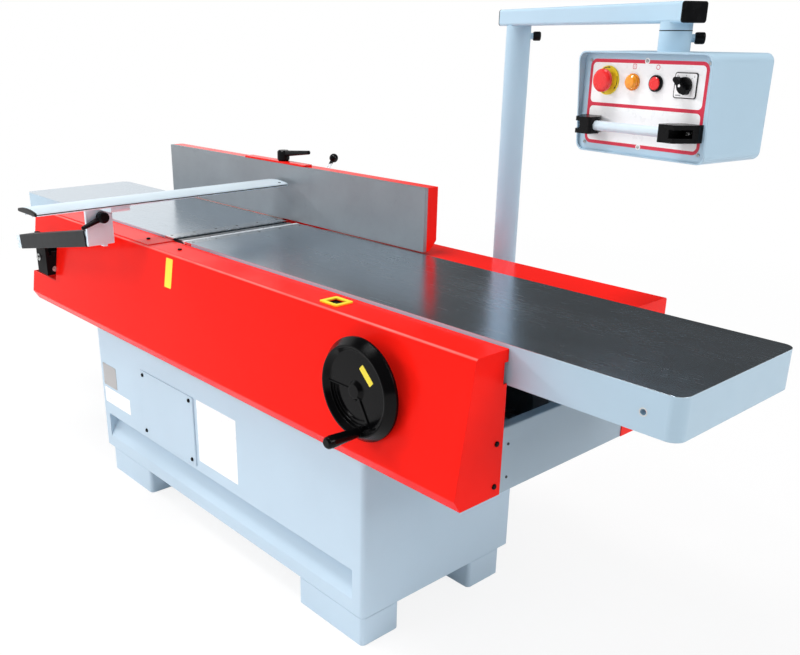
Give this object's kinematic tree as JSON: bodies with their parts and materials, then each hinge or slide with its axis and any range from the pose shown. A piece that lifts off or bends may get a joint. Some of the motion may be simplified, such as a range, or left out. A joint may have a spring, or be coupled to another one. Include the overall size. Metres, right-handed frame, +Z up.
{
  "type": "surface planer",
  "caption": "Floor-standing surface planer: long tables either side of a belt-driven cutterhead, with tilting fence, bridge guard, lowering infeed table and swing-arm control box",
  "frame": {"origin": "middle of the footprint on the floor, below the centre of the rest pose's bounding box", "axes": "+Z up, +X along the tables towards the infeed end, -Y towards the operator"},
  "size_m": [2.78, 1.348, 1.488],
  "materials": {
    "red_paint": "gloss powder coat",
    "grey_paint": "satin powder coat",
    "table_iron": "ground",
    "table_edge": "ground top, painted sides",
    "fence_steel": "ground",
    "steel": "turned",
    "tool_steel": "ground",
    "aluminium": "anodised",
    "anthracite": "satin",
    "black_steel": "satin",
    "black_plastic": "satin",
    "zinc": "zinc plated",
    "motor_paint": "satin",
    "belt_rubber": "matt",
    "galvanised": "galvanised sheet",
    "white_panel": "satin foil",
    "yellow_plastic": "gloss",
    "red_plastic": "gloss",
    "orange_plastic": "gloss"
  },
  "bodies": {
    "machine": {"base_cabinet": "grey_paint", "base_feet": "grey_paint", "access_panel": "grey_paint", "cover_screws": "black_steel", "upper_frame": "grey_paint", "front_cover": "red_paint", "outfeed_cover_strip": "red_paint", "rear_cover": "red_paint", "outfeed_table": "table_edge", "outfeed_extension": "table_edge", "outfeed_lip": "tool_steel", "bearing_housings": "table_iron", "drive_belts": "belt_rubber", "motor": "motor_paint", "table_pedestals": "table_iron", "chip_hood": "galvanised", "depth_scale": "yellow_plastic", "guard_bracket": "black_steel", "fence_support": "red_paint", "column_bracket": "grey_paint", "column": "grey_paint"},
    "infeed": {"infeed_table": "table_edge", "infeed_lip": "tool_steel", "infeed_rack": "steel"},
    "cutter": {"cutterhead": "steel", "cutter_knives": "tool_steel", "knife_wedges": "steel", "cutter_pulley": "table_iron"},
    "motor_rotor": {"motor_pulley": "table_iron"},
    "wheel": {"handwheel": "black_plastic", "handwheel_shaft": "steel"},
    "grip": {"handwheel_grip": "black_plastic"},
    "fence_slide": {"fence_bar": "steel"},
    "fence": {"fence_plate": "fence_steel", "fence_box": "red_paint", "fence_lugs": "table_iron"},
    "tilt_lever": {"fence_clamp_lever": "black_plastic"},
    "lock_lever": {"fence_lock_lever": "black_plastic"},
    "arm": {"guard_arm": "aluminium", "guard_arm_cover": "anthracite"},
    "link": {"guard_link": "steel"},
    "holder": {"guard_holder": "aluminium"},
    "clamp": {"guard_clamp_lever": "black_plastic"},
    "bridge": {"bridge_guard": "aluminium", "bridge_end_caps": "black_plastic"},
    "swing": {"swing_arm": "grey_paint", "arm_end_caps": "black_plastic"},
    "pendant": {"control_box": "grey_paint", "control_panel": "white_panel", "estop_base": "yellow_plastic", "pilot_lamp": "orange_plastic", "stop_bezel": "black_plastic", "rotary_plate": "black_plastic", "grab_bar": "aluminium", "grab_brackets": "black_plastic"},
    "estop": {"estop_button": "red_plastic"},
    "stop": {"stop_button": "red_plastic"},
    "rotary": {"rotary_knob": "black_plastic"},
    "column_screw": {"column_thumb_screw": "black_plastic"},
    "box_screw": {"box_thumb_screw": "black_plastic"}
  },
  "joints": [
    {"name": "cutter_spin", "type": "hinge", "parent": "machine", "child": "cutter", "pos_m": [-0.258, -0.038, 0.7875], "axis": [0, 1, 0], "continuous": true},
    {"name": "motor_spin", "type": "hinge", "parent": "machine", "child": "motor_rotor", "pos_m": [-0.201, -0.238, 0.326], "axis": [0, 1, 0], "continuous": true},
    {"name": "infeed_lower", "type": "slide", "parent": "machine", "child": "infeed", "axis": [0.9903, 0, -0.1392], "range_m": [0, 0.03593]},
    {"name": "handwheel_turn", "type": "hinge", "parent": "machine", "child": "wheel", "pos_m": [0.729, -0.338, 0.705], "axis": [0, 1, 0], "range_deg": [0, 171.7]},
    {"name": "grip_spin", "type": "hinge", "parent": "wheel", "child": "grip", "pos_m": [0.74636, -0.458, 0.61567], "axis": [0, 1, 0], "continuous": true},
    {"name": "fence_shift", "type": "slide", "parent": "machine", "child": "fence_slide", "axis": [0, -1, 0], "range_m": [0, 0.3]},
    {"name": "fence_tilt", "type": "hinge", "parent": "fence_slide", "child": "fence", "pos_m": [-0.391, 0.204, 0.866], "axis": [-1, 0, 0], "range_deg": [0, 45]},
    {"name": "tilt_lever_turn", "type": "hinge", "parent": "fence", "child": "tilt_lever", "pos_m": [-0.333, 0.203, 1.045], "axis": [0, 0, 1], "range_deg": [-45, 45]},
    {"name": "lock_lever_turn", "type": "hinge", "parent": "machine", "child": "lock_lever", "pos_m": [-0.323, 0.292, 0.883], "axis": [-1, 0, 0], "range_deg": [-15, 30]},
    {"name": "guard_lift", "type": "hinge", "parent": "machine", "child": "arm", "pos_m": [-0.929, -0.429, 0.76], "axis": [0, -1, 0], "range_deg": [-13, 8]},
    {"name": "guard_level", "type": "hinge", "parent": "arm", "child": "holder", "pos_m": [-0.46279, -0.429, 0.84557], "axis": [0, -1, 0], "range_deg": [-8, 13]},
    {"name": "link_turn", "type": "hinge", "parent": "machine", "child": "link", "pos_m": [-0.929, -0.39, 0.746], "axis": [0, -1, 0], "range_deg": [-13, 8]},
    {"name": "clamp_turn", "type": "hinge", "parent": "holder", "child": "clamp", "pos_m": [-0.42779, -0.408, 0.91157], "axis": [1, 0, 0], "range_deg": [-15, 60]},
    {"name": "bridge_shift", "type": "slide", "parent": "holder", "child": "bridge", "axis": [0, -1, 0], "range_m": [0, 0.3]},
    {"name": "arm_swing", "type": "hinge", "parent": "machine", "child": "swing", "pos_m": [0.47, 0.38, 1.448], "axis": [0, 0, 1], "range_deg": [-60, 60]},
    {"name": "box_swivel", "type": "hinge", "parent": "swing", "child": "pendant", "pos_m": [1.04662, 0.16613, 1.434], "axis": [0, 0, 1], "range_deg": [-90, 90]},
    {"name": "estop_press", "type": "slide", "parent": "pendant", "child": "estop", "axis": [0.1357, 0.9907, 0], "range_m": [0, 0.006], "stiffness_N_per_m": 1500},
    {"name": "stop_press", "type": "slide", "parent": "pendant", "child": "stop", "axis": [0.1357, 0.9907, 0], "range_m": [0, 0.004], "stiffness_N_per_m": 1200},
    {"name": "rotary_turn", "type": "hinge", "parent": "pendant", "child": "rotary", "pos_m": [1.13285, 0.07357, 1.3345], "axis": [0.1357, 0.9907, 0], "range_deg": [-45, 45]},
    {"name": "column_screw_turn", "type": "hinge", "parent": "machine", "child": "column_screw", "pos_m": [0.47, 0.38, 1.423], "axis": [0.7071, 0.7071, 0], "range_deg": [-180, 180]},
    {"name": "box_screw_turn", "type": "hinge", "parent": "pendant", "child": "box_screw", "pos_m": [1.04662, 0.16613, 1.42], "axis": [0.7965, 0.6046, 0], "range_deg": [-180, 180]}
  ],
  "couplings": [
    {"joint": "motor_spin", "follows": "cutter_spin", "ratio": 0.6},
    {"joint": "handwheel_turn", "follows": "infeed_lower", "rad_per_m": 83.333},
    {"joint": "guard_level", "follows": "guard_lift", "ratio": -1},
    {"joint": "link_turn", "follows": "guard_lift", "ratio": 1},
    {"joint": "bridge_shift", "follows": "fence_shift", "ratio": 1}
  ]
}
